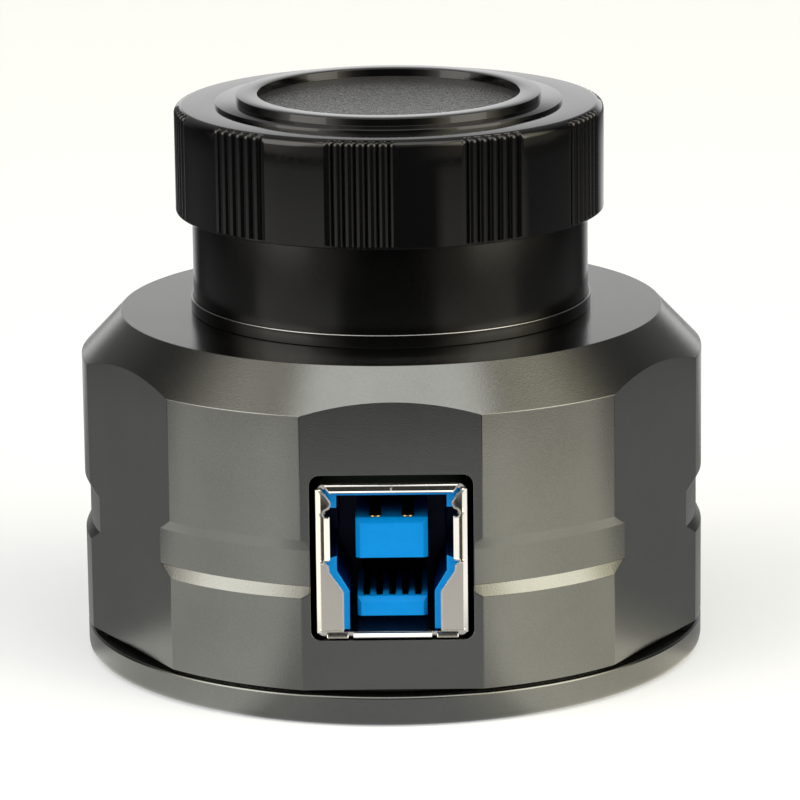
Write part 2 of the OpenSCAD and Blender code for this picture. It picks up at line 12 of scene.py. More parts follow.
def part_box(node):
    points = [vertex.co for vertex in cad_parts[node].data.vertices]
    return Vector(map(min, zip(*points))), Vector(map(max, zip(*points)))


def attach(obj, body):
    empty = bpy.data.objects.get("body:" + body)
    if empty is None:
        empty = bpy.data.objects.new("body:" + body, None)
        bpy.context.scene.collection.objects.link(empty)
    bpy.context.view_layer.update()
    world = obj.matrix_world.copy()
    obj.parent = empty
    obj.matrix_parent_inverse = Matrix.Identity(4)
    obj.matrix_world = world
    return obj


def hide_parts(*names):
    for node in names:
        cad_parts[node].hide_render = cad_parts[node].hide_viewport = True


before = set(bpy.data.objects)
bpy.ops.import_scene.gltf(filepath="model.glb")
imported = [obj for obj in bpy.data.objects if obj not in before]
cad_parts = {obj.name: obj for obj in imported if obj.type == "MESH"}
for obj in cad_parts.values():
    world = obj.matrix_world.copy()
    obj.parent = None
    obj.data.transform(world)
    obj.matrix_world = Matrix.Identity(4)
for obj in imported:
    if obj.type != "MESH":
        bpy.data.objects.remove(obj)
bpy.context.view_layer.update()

MM = 0.001
FLATS = 6
STEPS = 240


# ---- the object's main sizes, from the frame, in millimetres ----------------

def low(node):
    return [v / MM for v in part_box(node)[0]]


def high(node):
    return [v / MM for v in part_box(node)[1]]


BODY_R = high("back_cover")[0]
FLAT_Y = -low("housing")[1]
HOUSING_Z = low("housing")[2]
FACE_Z = high("housing")[2]
FLANGE_R = high("nosepiece")[0]
BARREL_TOP_Z = high("nosepiece")[2]
SPIGOT_Z = low("nosepiece")[2]
CAP_R = high("dust_cap")[0]
CAP_RIM_Z = low("dust_cap")[2]
CAP_RING_Z = high("dust_cap")[2]
SOCKET_Y = low("usb_shell")[1]
SOCKET_BACK_Y = low("usb_rear_cover")[1]
SHELL_W = high("usb_shell")[0]
SHELL_LOW_Z = low("usb_shell")[2]
BOARD_Z = low("main_board")[2]

SHOULDER_Z = 24.5
FACE_R = 21.78
GROOVE = (10.1, 14.75, 0.42, 0.9)
CAVITY_R = 22.2
BARREL_R = 15.875
BARREL_BORE_R = 13.7
FILTER_R = 14.25
FILTER_LEN = 5
COVER_H = 2.43
LAND_R = 23.4


# ---- mesh helpers ------------------------------------------------------------

def rounded(corners, segments=4):
    """A closed outline whose corners, given as (x, y) or (x, y, radius), are rounded by arcs."""
    out = []
    for i, (x, y, *size) in enumerate(corners):
        p = Vector((x, y))
        if not size or not size[0]:
            out.append((x, y))
            continue
        a = Vector(corners[i - 1][:2]) - p
        b = Vector(corners[(i + 1) % len(corners)][:2]) - p
        half = a.angle(b) / 2
        cut = min(size[0] / tan(half), 0.49 * a.length, 0.49 * b.length)
        r = cut * tan(half)
        centre = p + (a.normalized() + b.normalized()).normalized() * (r / sin(half))
        start = p + a.normalized() * cut - centre
        end = p + b.normalized() * cut - centre
        turn = start.angle_signed(end)
        for k in range(segments + 1):
            t = turn * k / segments
            c, s = cos(t), sin(t)
            out.append((centre.x + c * start.x + s * start.y, centre.y - s * start.x + c * start.y))
    return out


def polar(r, angle, z):
    """A point at an angle from the socket side (-Y), turning towards +X, in metres."""
    return Vector((r * sin(angle), -r * cos(angle), z)) * MM


def spin(bm, outline, steps=STEPS, radius=None):
    """Spins a closed outline of (r, z) points about the axis. radius(r, z, angle) may change r."""
    rings = []
    for r, z in outline:
        if r < 1e-6:
            rings.append([bm.verts.new((0, 0, z * MM))])
            continue
        angles = [2 * pi * k / steps for k in range(steps)]
        rings.append([bm.verts.new(polar(radius(r, z, a) if radius else r, a, z)) for a in angles])
    for one, two in zip(rings, rings[1:] + rings[:1]):
        for k in range(steps):
            n = (k + 1) % steps
            corners = [one[k % len(one)], one[n % len(one)], two[n % len(two)], two[k % len(two)]]
            face = list(dict.fromkeys(corners))
            if len(face) > 2:
                bm.faces.new(face)


def prism(bm, outline, front, back, axis="y"):
    """Extrudes a closed outline from front to back: in (x, z) along y, or in (x, y) along z."""
    def place(u, v, w):
        return Vector((u, w, v) if axis == "y" else (u, v, w)) * MM
    ends = [[bm.verts.new(place(u, v, w)) for u, v in outline] for w in (front, back)]
    bm.faces.new(ends[0])
    bm.faces.new(ends[1][::-1])
    for k in range(len(outline)):
        n = (k + 1) % len(outline)
        bm.faces.new([ends[0][k], ends[0][n], ends[1][n], ends[1][k]])


def block(bm, lowest, highest):
    """A rectangular block between two corners, in millimetres."""
    (x0, y0, z0), (x1, y1, z1) = lowest, highest
    prism(bm, [(x0, z0), (x1, z0), (x1, z1), (x0, z1)], y0, y1)


def mesh_from(bm, name):
    bmesh.ops.recalc_face_normals(bm, faces=bm.faces)
    mesh = bpy.data.meshes.new(name)
    bm.to_mesh(mesh)
    bm.free()
    return mesh


def link(mesh, name):
    piece = bpy.data.objects.new(name, mesh)
    bpy.context.scene.collection.objects.link(piece)
    return piece


def cut(piece, tool, operation="DIFFERENCE"):
    """Applies a boolean with a tool made in a bmesh, and throws the tool away."""
    other = link(mesh_from(tool, "tool"), "tool")
    change = piece.modifiers.new("cut", "BOOLEAN")
    change.operation = operation
    change.solver = "EXACT"
    change.object = other
    bpy.context.view_layer.update()
    graph = bpy.context.evaluated_depsgraph_get()
    mesh = bpy.data.meshes.new_from_object(piece.evaluated_get(graph))
    piece.modifiers.clear()
    piece.data = mesh
    bpy.data.objects.remove(other)


def soften(piece, width, segments=3, angle=30, weights=False):
    """Rounds the sharp edges and keeps the large faces flat in the shading."""
    piece.data.shade_smooth()
    bevel = piece.modifiers.new("edges", "BEVEL")
    bevel.width = width * MM
    bevel.segments = segments
    bevel.limit_method = "WEIGHT" if weights else "ANGLE"
    bevel.angle_limit = radians(angle)
    bevel.use_clamp_overlap = True
    normals = piece.modifiers.new("normals", "WEIGHTED_NORMAL")
    normals.keep_sharp = False
    normals.weight = 60


def finish_piece(piece, body, material, nodes=()):
    piece.data.materials.clear()
    piece.data.materials.append(material)
    if not any(p.use_smooth for p in piece.data.polygons):
        piece.data.shade_smooth()
    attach(piece, body)
    if nodes:
        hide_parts(*nodes)
    return piece


# ---- material helpers ----------------------------------------------------------

def material(name):
    made = bpy.data.materials.new(name)
    made.use_nodes = True
    nodes = made.node_tree.nodes
    nodes.clear()
    out = nodes.new("ShaderNodeOutputMaterial")
    shader = nodes.new("ShaderNodeBsdfPrincipled")
    made.node_tree.links.new(shader.outputs[0], out.inputs[0])
    return made, made.node_tree, shader


def coordinates(tree, scale=(1, 1, 1)):
    """Object coordinates in millimetres, stretched by scale."""
    source = tree.nodes.new("ShaderNodeTexCoord")
    mapping = tree.nodes.new("ShaderNodeMapping")
    mapping.inputs["Scale"].default_value = [s / MM for s in scale]
    tree.links.new(source.outputs["Object"], mapping.inputs[0])
    return mapping.outputs[0]


def noise(tree, where, scale, detail=3, rough=0.6):
    node = tree.nodes.new("ShaderNodeTexNoise")
    node.inputs["Scale"].default_value = scale
    node.inputs["Detail"].default_value = detail
    node.inputs["Roughness"].default_value = rough
    tree.links.new(where, node.inputs["Vector"])
    return node.outputs["Fac"]


def spread(tree, value, low_value, high_value, low_in=0.3, high_in=0.7):
    """Maps a texture's value to a range."""
    node = tree.nodes.new("ShaderNodeMapRange")
    tree.links.new(value, node.inputs["Value"])
    for socket, number in (("From Min", low_in), ("From Max", high_in),
                           ("To Min", low_value), ("To Max", high_value)):
        node.inputs[socket].default_value = number
    return node.outputs[0]


def tint(tree, value, dark, light):
    """Mixes two colours by a value between 0 and 1."""
    node = tree.nodes.new("ShaderNodeMix")
    node.data_type = "RGBA"
    tree.links.new(value, node.inputs["Factor"])
    node.inputs["A"].default_value = (*dark, 1)
    node.inputs["B"].default_value = (*light, 1)
    return node.outputs["Result"]


def bump(tree, height, strength, depth, shader):
    """depth is the height of the texture's relief, in millimetres."""
    node = tree.nodes.new("ShaderNodeBump")
    node.inputs["Strength"].default_value = strength
    node.inputs["Distance"].default_value = depth * MM
    tree.links.new(height, node.inputs["Height"])
    tree.links.new(node.outputs[0], shader.inputs["Normal"])


def grained(name, dark, light, rough, grain, metallic=0.0, relief=0.004, strength=0.5,
            coat=0.0, specular=0.5, patches=1.5):
    """A surface with fine grain of a given size in millimetres and soft colour patches."""
    made, tree, shader = material(name)
    where = coordinates(tree)
    fine = noise(tree, where, 1 / grain, 2, 0.7)
    broad = noise(tree, where, patches / 10, 3)
    mixed = tree.nodes.new("ShaderNodeMath")
    mixed.operation = "MULTIPLY_ADD"
    tree.links.new(fine, mixed.inputs[0])
    mixed.inputs[1].default_value = 0.7
    scaled = spread(tree, broad, 0.05, 0.25)
    tree.links.new(scaled, mixed.inputs[2])
    tree.links.new(tint(tree, mixed.outputs[0], dark, light), shader.inputs["Base Color"])
    tree.links.new(spread(tree, fine, *rough), shader.inputs["Roughness"])
    shader.inputs["Metallic"].default_value = metallic
    shader.inputs["Coat Weight"].default_value = coat
    shader.inputs["Specular IOR Level"].default_value = specular
    bump(tree, fine, strength, relief, shader)
    return made


def brushed(name, dark, light, rough, stretch, metallic=1.0):
    """Metal with fine streaks, stretched along an axis."""
    made, tree, shader = material(name)
    streaks = noise(tree, coordinates(tree, stretch), 4, 4)
    tree.links.new(tint(tree, streaks, dark, light), shader.inputs["Base Color"])
    tree.links.new(spread(tree, streaks, *rough), shader.inputs["Roughness"])
    shader.inputs["Metallic"].default_value = metallic
    bump(tree, streaks, 0.25, 0.002, shader)
    return made


# ---- materials -----------------------------------------------------------------

ANODISED = grained("anodised_grey", (0.14, 0.143, 0.136), (0.225, 0.229, 0.219), (0.14, 0.21), 0.12,
                   metallic=1, relief=0.01, strength=0.7)
BLACK_METAL = grained("anodised_black", (0.001, 0.001, 0.001), (0.002, 0.002, 0.002), (0.14, 0.22), 0.12,
                      relief=0.003, strength=0.2, specular=0.42)
CAP_PLASTIC = grained("gloss_black", (0.002, 0.002, 0.0022), (0.0035, 0.0035, 0.0038), (0.05, 0.1), 0.4,
                      relief=0.004, strength=0.3)
CAP_MATTE = grained("matte_black", (0.02, 0.02, 0.02), (0.035, 0.035, 0.035), (0.2, 0.3), 0.3,
                    relief=0.16, strength=1)
# Lighter metal for the flange's top chamfer on the black nosepiece: a painted highlight that stands in for
# the bright line there.
HIGHLIGHT_CHAMFER_METAL = grained("painted_highlight_chamfer", (0.3, 0.3, 0.3), (0.42, 0.42, 0.42), (0.15, 0.25), 0.2,
                    metallic=1, relief=0.002, strength=0.2)
RUBBER = grained("rubber", (0.01, 0.01, 0.01), (0.02, 0.02, 0.02), (0.6, 0.8), 0.2, relief=0.005)
STEEL = brushed("steel", (0.4, 0.4, 0.4), (0.6, 0.6, 0.6), (0.2, 0.35), (1, 1, 8))
NICKEL = brushed("nickel", (0.8, 0.78, 0.74), (0.93, 0.91, 0.87), (0.12, 0.22), (1, 1, 6))
GOLD = brushed("gold", (0.65, 0.45, 0.16), (0.85, 0.62, 0.28), (0.15, 0.3), (1, 6, 1))
BLUE = grained("blue_plastic", (0.0, 0.215, 0.64), (0.0, 0.265, 0.74), (0.3, 0.4), 0.5,
               relief=0.001, strength=0.2, specular=0.12)
# A much darker copy of the blue plastic for the faces deep inside the socket: painted shade of the cavity,
# not a second plastic.
SHADED_CAVITY_BLUE = grained("painted_shade_blue", (0.001, 0.008, 0.05), (0.001, 0.014, 0.08), (0.3, 0.4), 0.4,
                    relief=0.002, strength=0.2, specular=0.15)
SATIN_NICKEL = grained("satin_nickel", (0.82, 0.775, 0.72), (0.92, 0.87, 0.81), (0.3, 0.38), 0.12,
                       metallic=1, relief=0.003, strength=0.3)
BOARD = grained("circuit_board", (0.006, 0.012, 0.01), (0.012, 0.03, 0.02), (0.3, 0.5), 0.6, relief=0.01)
CHIP = grained("chip", (0.012, 0.012, 0.013), (0.03, 0.03, 0.03), (0.45, 0.65), 0.15, relief=0.006)
IVORY = grained("ivory_plastic", (0.55, 0.5, 0.38), (0.68, 0.63, 0.5), (0.4, 0.55), 0.3)
FERRITE = grained("ferrite", (0.05, 0.05, 0.05), (0.1, 0.1, 0.1), (0.6, 0.8), 0.2, relief=0.01)
CERAMIC = grained("capacitor", (0.34, 0.24, 0.13), (0.5, 0.37, 0.22), (0.4, 0.5), 0.2)
PACKAGE = grained("sensor_package", (0.02, 0.02, 0.022), (0.04, 0.04, 0.045), (0.4, 0.5), 0.2)
PAD = grained("thermal_pad", (0.5, 0.3, 0.3), (0.65, 0.42, 0.42), (0.7, 0.85), 0.25, relief=0.01)
MILLED = brushed("milled_aluminium", (0.6, 0.6, 0.6), (0.8, 0.8, 0.8), (0.25, 0.4), (1, 8, 1))


def glass_material():
    made, tree, shader = material("window_glass")
    shader.inputs["Base Color"].default_value = (0.94, 0.98, 1, 1)
    shader.inputs["Transmission Weight"].default_value = 1
    shader.inputs["IOR"].default_value = 1.5
    smears = noise(tree, coordinates(tree), 0.3, 2)
    tree.links.new(spread(tree, smears, 0.0, 0.03), shader.inputs["Roughness"])
    return made


def silicon_material():
    made, tree, shader = material("silicon")
    where = coordinates(tree)
    cells = tree.nodes.new("ShaderNodeTexChecker")
    cells.inputs["Scale"].default_value = 12
    tree.links.new(where, cells.inputs["Vector"])
    tree.links.new(tint(tree, cells.outputs["Fac"], (0.1, 0.06, 0.2), (0.06, 0.12, 0.16)),
                   shader.inputs["Base Color"])
    shader.inputs["Metallic"].default_value = 0.9
    shader.inputs["Roughness"].default_value = 0.12
    return made


GLASS = glass_material()
SILICON = silicon_material()


# ---- camera, light and floor -----------------------------------------------------

def make_camera():
    azimuth, elevation, roll, distance = radians(0.337), radians(13.777), radians(-0.685), 393.04
    target = Vector((0.63, 0, 19.839))
    back = Vector((sin(azimuth) * cos(elevation), -cos(azimuth) * cos(elevation), sin(elevation)))
    level = Vector((cos(azimuth), sin(azimuth), 0))
    up = back.cross(level)
    right = cos(roll) * level + sin(roll) * up
    top = -sin(roll) * level + cos(roll) * up
    camera = bpy.data.objects.new("camera", bpy.data.cameras.new("camera"))
    bpy.context.scene.collection.objects.link(camera)
    camera.data.lens = 218.2
    camera.data.sensor_width = 36
    camera.data.clip_start = 0.01
    turn = Matrix((right, top, back)).transposed().to_4x4()
    camera.matrix_world = Matrix.Translation((target + back * distance) * MM) @ turn
    bpy.context.scene.camera = camera


def area_light(name, azimuth, elevation, distance, width, height, power, colour=(1, 1, 1)):
    """A soft box at an angle from the socket side, aimed at the object's middle, sizes in metres."""
    data = bpy.data.lights.new(name, "AREA")
    data.shape = "RECTANGLE"
    data.size, data.size_y = width, height
    data.energy = power
    data.color = colour
    lamp = bpy.data.objects.new(name, data)
    bpy.context.scene.collection.objects.link(lamp)
    a, e = radians(azimuth), radians(elevation)
    away = Vector((sin(a) * cos(e), -cos(a) * cos(e), sin(e)))
    lamp.location = away * distance + Vector((0, 0, 0.022))
    lamp.rotation_mode = "QUATERNION"
    lamp.rotation_quaternion = away.to_track_quat("Z", "Y")


def direction(azimuth, elevation):
    """A unit vector at an azimuth from the socket side (-Y) towards +X, and an elevation."""
    a, e = radians(azimuth), radians(elevation)
    return Vector((sin(a) * cos(e), -cos(a) * cos(e), sin(e)))


def ramp(tree, value, start, end, strength=1.0):
    """A smooth step from 0 at start to strength at end."""
    node = tree.nodes.new("ShaderNodeMapRange")
    node.interpolation_type = "SMOOTHSTEP"
    node.inputs["From Min"].default_value = min(start, end)
    node.inputs["From Max"].default_value = max(start, end)
    node.inputs["To Min"].default_value = 0 if start < end else strength
    node.inputs["To Max"].default_value = strength if start < end else 0
    tree.links.new(value, node.inputs["Value"])
    return node.outputs[0]


def add_light(tree, total, amount, colour):
    """Adds a coloured amount of light to what the room holds so far."""
    node = tree.nodes.new("ShaderNodeVectorMath")
    node.operation = "MULTIPLY_ADD"
    tree.links.new(amount, node.inputs[0])
    node.inputs[1].default_value = colour
    if total:
        tree.links.new(total, node.inputs[2])
    else:
        node.inputs[2].default_value = (AMBIENT, AMBIENT, AMBIENT)
    return node.outputs[0]


def lobe(tree, where, azimuth, elevation, inner, outer, strength):
    """A soft round light: full inside the inner angle, gone past the outer one."""
    dot = tree.nodes.new("ShaderNodeVectorMath")
    dot.operation = "DOT_PRODUCT"
    dot.inputs[1].default_value = direction(azimuth, elevation)
    tree.links.new(where, dot.inputs[0])
    return ramp(tree, dot.outputs["Value"], cos(radians(outer)), cos(radians(inner)), strength)


def product(tree, one, two):
    node = tree.nodes.new("ShaderNodeMath")
    node.operation = "MULTIPLY"
    tree.links.new(one, node.inputs[0])
    tree.links.new(two, node.inputs[1])
    return node.outputs[0]


def back_wall(tree, where, low_angle, high_angle, strength):
    """A bright wall behind the object, which fades out between two elevations."""
    split = tree.nodes.new("ShaderNodeSeparateXYZ")
    tree.links.new(where, split.inputs[0])
    behind = ramp(tree, split.outputs["Y"], 0.86, 0.96, strength)
    top = ramp(tree, split.outputs["Z"], sin(radians(high_angle)), sin(radians(low_angle)))
    foot = ramp(tree, split.outputs["Z"], -0.06, 0.02)
    return product(tree, product(tree, behind, top), foot)


AMBIENT = 0.02
NEUTRAL = (1, 1, 1)
COOL = (1, 0.95, 0.84)
WARM = (1, 0.93, 0.7)
CEILING = (1, 0.95, 0.82)
# The elevations between which the wall behind fades out, and its strength
BACK_WALL = (9, 17, 0.97)
# Each light's azimuth, elevation, inner and outer angle, strength and colour
ROOM_LIGHTS = (
    (180, 20, 10, 66, 0.2, NEUTRAL), (-64, 28, 12, 40, 2.0, COOL), (64, 28, 12, 40, 2.4, WARM),
    (-64, -12, 14, 52, 0.36, COOL), (64, -12, 14, 52, 0.36, WARM), (0, 74, 10, 70, 0.42, CEILING))


def make_world():
    """A dark room with soft lights for the object to reflect, and white behind for the camera."""
    world = bpy.data.worlds.new("studio")
    bpy.context.scene.world = world
    world.use_nodes = True
    tree = world.node_tree
    tree.nodes.clear()
    out = tree.nodes.new("ShaderNodeOutputWorld")
    where = tree.nodes.new("ShaderNodeTexCoord").outputs["Generated"]
    total = add_light(tree, None, back_wall(tree, where, *BACK_WALL), NEUTRAL)
    for *shape, colour in ROOM_LIGHTS:
        total = add_light(tree, total, lobe(tree, where, *shape), colour)
    inside = tree.nodes.new("ShaderNodeBackground")
    tree.links.new(total, inside.inputs["Color"])
    seen = tree.nodes.new("ShaderNodeBackground")
    seen.inputs["Color"].default_value = (1, 1, 1, 1)
    path = tree.nodes.new("ShaderNodeLightPath")
    mix = tree.nodes.new("ShaderNodeMixShader")
    tree.links.new(path.outputs["Is Camera Ray"], mix.inputs[0])
    tree.links.new(inside.outputs[0], mix.inputs[1])
    tree.links.new(seen.outputs[0], mix.inputs[2])
    tree.links.new(mix.outputs[0], out.inputs[0])


def disc(name, radius, height):
    bm = bmesh.new()
    bmesh.ops.create_circle(bm, cap_ends=True, radius=radius, segments=96)
    bmesh.ops.translate(bm, verts=bm.verts, vec=(0, 0, height))
    mesh = mesh_from(bm, name)
    if mesh.polygons[0].normal.z < 0:
        mesh.flip_normals()
    piece = link(mesh, name)
    return piece


def one_sided(tree, surface):
    """Shows a surface from above, and lets a view from below look through it."""
    clear = tree.nodes.new("ShaderNodeBsdfTransparent")
    side = tree.nodes.new("ShaderNodeNewGeometry")
    mix = tree.nodes.new("ShaderNodeMixShader")
    tree.links.new(side.outputs["Backfacing"], mix.inputs[0])
    tree.links.new(surface, mix.inputs[1])
    tree.links.new(clear.outputs[0], mix.inputs[2])
    out = next(n for n in tree.nodes if n.type == "OUTPUT_MATERIAL")
    tree.links.new(mix.outputs[0], out.inputs[0])


FLOOR_GLOW = 0.36


def make_floor():
    """A plain pale floor with the same faint glow all over."""
    made, tree, shader = material("floor")
    shader.inputs["Base Color"].default_value = (0.68, 0.68, 0.68, 1)
    shader.inputs["Roughness"].default_value = 0.9
    shader.inputs["Specular IOR Level"].default_value = 0.0
    glow = tree.nodes.new("ShaderNodeEmission")
    glow.inputs["Color"].default_value = (0.89, 0.94, 1, 1)
    glow.inputs["Strength"].default_value = FLOOR_GLOW
    both = tree.nodes.new("ShaderNodeAddShader")
    tree.links.new(shader.outputs[0], both.inputs[0])
    tree.links.new(glow.outputs[0], both.inputs[1])
    one_sided(tree, both.outputs[0])
    floor = disc("floor", 3, 0)
    floor.visible_glossy = False
    floor.data.materials.append(made)


def make_lit_floor():
    """The lit part of the floor, as the object reflects it: brightest towards the two soft boxes."""
    made, tree, shader = material("lit_floor")
    tree.nodes.remove(shader)
    source = tree.nodes.new("ShaderNodeTexCoord")
    unit = tree.nodes.new("ShaderNodeVectorMath")
    unit.operation = "NORMALIZE"
    tree.links.new(source.outputs["Object"], unit.inputs[0])
    where = unit.outputs[0]
    size = tree.nodes.new("ShaderNodeVectorMath")
    size.operation = "LENGTH"
    tree.links.new(source.outputs["Object"], size.inputs[0])
    near = ramp(tree, size.outputs["Value"], 0.15, 0.11)
    far = ramp(tree, size.outputs["Value"], 0.3, 0.17)
    total = add_light(tree, None, ramp(tree, size.outputs["Value"], 0.15, 0.11, 0.2), (1, 1, 0.95))
    for azimuth, inner, outer, strength, reach, colour in (
            (0, 20, 60, 0.27, near, NEUTRAL), (-50, 8, 40, 0.14, near, COOL),
            (50, 8, 40, 0.48, near, WARM), (-54, 20, 30, 0.58, far, (1, 0.98, 0.93)),
            (50, 20, 28, 0.46, far, (1, 0.95, 0.84)), (-100, 15, 45, 0.12, far, NEUTRAL),
            (100, 15, 45, 0.12, far, NEUTRAL), (180, 12, 38, 0.9, far, NEUTRAL)):
        shape = lobe(tree, where, azimuth, 0, inner, outer, strength)
        total = add_light(tree, total, product(tree, shape, reach), colour)
    glow = tree.nodes.new("ShaderNodeEmission")
    tree.links.new(total, glow.inputs["Color"])
    one_sided(tree, glow.outputs[0])
    patch = disc("lit_floor", 0.3, -0.00001)
    patch.visible_camera = False
    patch.visible_diffuse = False
    patch.visible_shadow = False
    patch.data.materials.append(made)


# ---- housing and back cover --------------------------------------------------------

def make_housing():
    low_z, high_z, depth, bevel = GROOVE
    outline = [
        (CAVITY_R, HOUSING_Z), (BODY_R, HOUSING_Z), (BODY_R, low_z), (BODY_R - depth, low_z + bevel),
        (BODY_R - depth, high_z - bevel), (BODY_R, high_z), (BODY_R, SHOULDER_Z), (FACE_R, FACE_Z),
        (14.9, FACE_Z), (14.5, FACE_Z - 0.4), (14.5, 25.2), (11.0, 25.2), (11.0, 23.9), (9.2, 23.9),
        (9.2, 23.1), (17.0, 23.1), (17.0, 25.2), (20.4, 25.2), (20.4, 22.9), (CAVITY_R, 22.9)]
    bm = bmesh.new()
    spin(bm, outline)
    piece = link(mesh_from(bm, "housing_body"), "housing_body")
    hexagon = bmesh.new()
    reach = FLAT_Y / cos(pi / FLATS)
    corners = [(reach * cos(pi / 3 * k), reach * sin(pi / 3 * k)) for k in range(FLATS)]
    prism(hexagon, corners, -10, 60, "z")
    cut(piece, hexagon, "INTERSECT")
    mouth = bmesh.new()
    outline = rounded([(-6.28, 6.7, 0.8), (6.28, 6.7, 0.8), (6.28, 19.82, 0.8), (-6.28, 19.82, 0.8)], 8)
    prism(mouth, outline, -40, -FLAT_Y + 4)
    cut(piece, mouth)
    weigh_outer_edges(piece)
    soften(piece, 0.13, weights=True)
    return finish_piece(piece, "camera", ANODISED, ["housing"])


ARCH_EDGE = 0.3


def is_arch(edge):
    """Whether an edge is where one of the flats cuts the cone."""
    one, two = sorted(edge.link_faces, key=lambda face: abs(face.normal.z))
    on_flat = abs(abs(one.calc_center_median().dot(one.normal)) - FLAT_Y * MM) < 1e-5
    return on_flat and abs(one.normal.z) < 0.01 and two.normal.z > 0.5


def weigh_outer_edges(piece):
    """Marks the creases on the outside of the housing for the bevel."""
    bm = bmesh.new()
    bm.from_mesh(piece.data)
    bmesh.ops.remove_doubles(bm, verts=bm.verts, dist=1e-7)
    bmesh.ops.dissolve_limit(bm, angle_limit=radians(0.05), verts=bm.verts, edges=bm.edges)
    layer = bm.edges.layers.float.new("bevel_weight_edge")
    for edge in bm.edges:
        if len(edge.link_faces) != 2 or edge.calc_face_angle(0) < radians(7):
            continue
        outer = all(sqrt(v.co.x ** 2 + v.co.y ** 2) > 23.4 * MM or v.co.z > (FACE_Z - 0.5) * MM
                    for v in edge.verts)
        if outer:
            edge[layer] = ARCH_EDGE if is_arch(edge) else 1
    bm.to_mesh(piece.data)
    bm.free()


def make_cover():
    groove = 0.8
    spigot = CAVITY_R - 0.05
    recess_r, recess_z = 14.6, 0.2
    outline = rounded([
        (0, recess_z), (1, recess_z), (recess_r - 0.3, recess_z), (recess_r - 0.15, recess_z),
        (recess_r, 0.0, 0.05), (BODY_R, 0, 0.75), (BODY_R, COVER_H, 0.2),
        (LAND_R, COVER_H), (LAND_R, HOUSING_Z), (spigot, HOUSING_Z), (spigot, 3.3),
        (spigot - groove, 3.3), (spigot - groove, 4.3), (spigot, 4.3), (spigot, 5, 0.2),
        (spigot - 1.6, 5), (spigot - 1.6, 2.2), (0, 2.2)])
    bm = bmesh.new()
    spin(bm, outline)
    piece = link(mesh_from(bm, "base_cover"), "base_cover")
    for x, y, face_z in screw_places():
        hole = bmesh.new()
        spin(hole, [(0, -1), (1.95, -1), (1.95, face_z), (1.0, face_z + 1.15), (1.0, 4), (0, 4)], 48)
        bmesh.ops.translate(hole, verts=hole.verts, vec=Vector((x, y, 0)) * MM)
        cut(piece, hole)
    soften(piece, 0.04, 2, 50)
    return finish_piece(piece, "camera", ANODISED, ["back_cover"])


def screw_places():
    """(x, y, height of the head's face) of the screws in the back cover."""
    ring = [(19.2 * sin(radians(a)), -19.2 * cos(radians(a)), 0.15) for a in (45, 135, 225, 315)]
    return ring + [(x, 10.5, 0.35) for x in (-4, 4)]


def make_screw(name, x, y, face_z, length):
    outline = [(0, face_z + 0.8), (0.75, face_z + 0.8), (0.75, face_z), (1.75, face_z),
               (1.9, face_z + 0.12), (0.95, face_z + 1.15), (0.95, face_z + length), (0, face_z + length)]
    bm = bmesh.new()
    spin(bm, outline, 48, hex_recess)
    bmesh.ops.translate(bm, verts=bm.verts, vec=Vector((x, y, 0)) * MM)
    piece = link(mesh_from(bm, name), name)
    soften(piece, 0.04, 2, 25)
    return finish_piece(piece, "camera", STEEL)


def hex_recess(r, z, angle):
    """Turns the screw's round recess into a hexagon."""
    if abs(r - 0.75) > 0.01:
        return r
    return r * cos(pi / 6) / cos((angle % (pi / 3)) - pi / 6)


def make_screws():
    for i, (x, y, face_z) in enumerate(screw_places()):
        ring = i < 4
        name = f"cover_screw_{i + 1}" if ring else f"heat_block_screw_{i - 3}"
        piece = make_screw(name, x, y, face_z, 8.3 if ring else 6.6)
        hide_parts("cover_screws" if ring else "heat_block_screws")


# ---- nosepiece, window and dust cap ---------------------------------------------------

SPIGOT_R = 14.4
THREAD_PITCH = 0.6
THREAD_DEPTH = 0.18


def thread_rows(r, low_z, high_z):
    """Rows of points for a thread on a wall of radius r, from bottom to top."""
    count = int((high_z - low_z) / THREAD_PITCH * 6)
    return [(r, low_z + (high_z - low_z) * k / count) for k in range(count + 1)]


def thread_radius(r, z, angle, low_z, high_z):
    """A V thread that eases in and out at its ends."""
    phase = (z / THREAD_PITCH - angle / (2 * pi)) % 1
    ease = max(0, min(1, (high_z - z) / 0.3, (z - low_z) / 0.3))
    return r - THREAD_DEPTH * ease * (1 - abs(2 * phase - 1))


